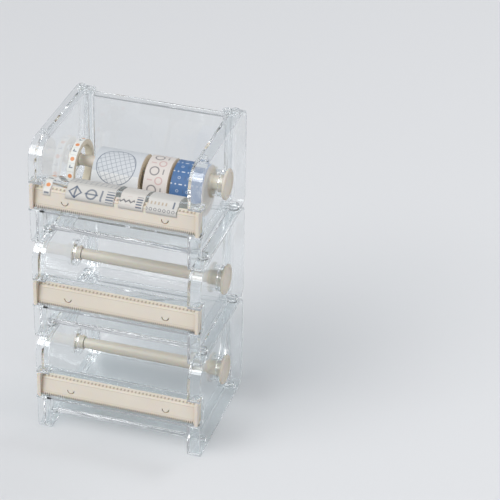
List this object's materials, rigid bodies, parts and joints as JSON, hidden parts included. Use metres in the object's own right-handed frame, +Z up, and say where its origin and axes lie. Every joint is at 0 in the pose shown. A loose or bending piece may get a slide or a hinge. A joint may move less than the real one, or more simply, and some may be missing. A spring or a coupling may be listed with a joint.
{
  "type": "stackable tape dispenser",
  "caption": "Stack of clear open-fronted tape dispenser tiers, each with a cross rod for tape rolls, a side knob and a cream toothed cutter; the top tier is loaded with patterned paper tapes.",
  "frame": {"origin": "on the surface the stack stands on, under the middle of its outline", "axes": "+X along the rods towards the knobs, -Y towards the cutters, +Z up"},
  "size_m": [0.17, 0.1436, 0.3265],
  "materials": {
    "clear_plastic": "clear moulded polystyrene, polished",
    "cream_plastic": "cream moulded ABS, fine satin texture",
    "paper_core": "wound kraft paperboard core",
    "narrow_print": "white paper tape printed with orange dots and dark blue marks",
    "wide_print": "pale grey-white paper tape printed with a fine blue-grey grid",
    "medium_print": "off-white paper tape printed with grey and pinkish rings",
    "blue_print": "blue paper tape printed with small white marks"
  },
  "bodies": {
    "bottom_tier": {"bottom_left_panel": "clear_plastic", "bottom_right_panel": "clear_plastic", "bottom_rear_wall": "clear_plastic", "bottom_tray": "clear_plastic", "bottom_cutter": "cream_plastic", "bottom_bush": "cream_plastic"},
    "bottom_axle": {"bottom_rod": "cream_plastic"},
    "bottom_grip": {"bottom_knob": "cream_plastic"},
    "middle_tier": {"middle_left_panel": "clear_plastic", "middle_right_panel": "clear_plastic", "middle_rear_wall": "clear_plastic", "middle_tray": "clear_plastic", "middle_cutter": "cream_plastic", "middle_bush": "cream_plastic"},
    "middle_axle": {"middle_rod": "cream_plastic"},
    "middle_grip": {"middle_knob": "cream_plastic"},
    "top_tier": {"top_left_panel": "clear_plastic", "top_right_panel": "clear_plastic", "top_rear_wall": "clear_plastic", "top_tray": "clear_plastic", "top_cutter": "cream_plastic", "top_bush": "cream_plastic", "narrow_tail": "narrow_print", "wide_tail": "wide_print", "medium_tail": "medium_print", "blue_tail": "blue_print"},
    "top_axle": {"top_rod": "cream_plastic"},
    "top_grip": {"top_knob": "cream_plastic"},
    "narrow_roll": {"narrow_core": "paper_core", "narrow_tape": "narrow_print"},
    "wide_roll": {"wide_core": "paper_core", "wide_tape": "wide_print"},
    "medium_roll": {"medium_core": "paper_core", "medium_tape": "medium_print"},
    "blue_roll": {"blue_core": "paper_core", "blue_tape": "blue_print"}
  },
  "joints": [
    {"name": "bottom_rod_slide", "type": "slide", "parent": "bottom_tier", "child": "bottom_axle", "axis": [1, 0, 0], "range_m": [0, 0.156]},
    {"name": "bottom_knob_turn", "type": "hinge", "parent": "bottom_axle", "child": "bottom_grip", "pos_m": [0.08, 0.024, 0.0453], "axis": [1, 0, 0], "continuous": true},
    {"name": "middle_rod_slide", "type": "slide", "parent": "middle_tier", "child": "middle_axle", "axis": [1, 0, 0], "range_m": [0, 0.156]},
    {"name": "middle_knob_turn", "type": "hinge", "parent": "middle_axle", "child": "middle_grip", "pos_m": [0.08, 0.024, 0.1533], "axis": [1, 0, 0], "continuous": true},
    {"name": "top_rod_slide", "type": "slide", "parent": "top_tier", "child": "top_axle", "axis": [1, 0, 0], "range_m": [0, 0.156]},
    {"name": "top_knob_turn", "type": "hinge", "parent": "top_axle", "child": "top_grip", "pos_m": [0.08, 0.024, 0.2613], "axis": [1, 0, 0], "continuous": true},
    {"name": "middle_lift", "type": "slide", "parent": "bottom_tier", "child": "middle_tier", "axis": [0, 0, 1], "range_m": [0, 0.04]},
    {"name": "top_lift", "type": "slide", "parent": "middle_tier", "child": "top_tier", "axis": [0, 0, 1], "range_m": [0, 0.04]},
    {"name": "narrow_roll_spin", "type": "hinge", "parent": "top_tier", "child": "narrow_roll", "pos_m": [-0.06945, 0.024, 0.2525], "axis": [1, 0, 0], "continuous": true},
    {"name": "wide_roll_spin", "type": "hinge", "parent": "top_tier", "child": "wide_roll", "pos_m": [-0.0254, 0.024, 0.25078], "axis": [1, 0, 0], "continuous": true},
    {"name": "medium_roll_spin", "type": "hinge", "parent": "top_tier", "child": "medium_roll", "pos_m": [0.0156, 0.024, 0.25083], "axis": [1, 0, 0], "continuous": true},
    {"name": "blue_roll_spin", "type": "hinge", "parent": "top_tier", "child": "blue_roll", "pos_m": [0.0456, 0.024, 0.2509], "axis": [1, 0, 0], "continuous": true}
  ]
}
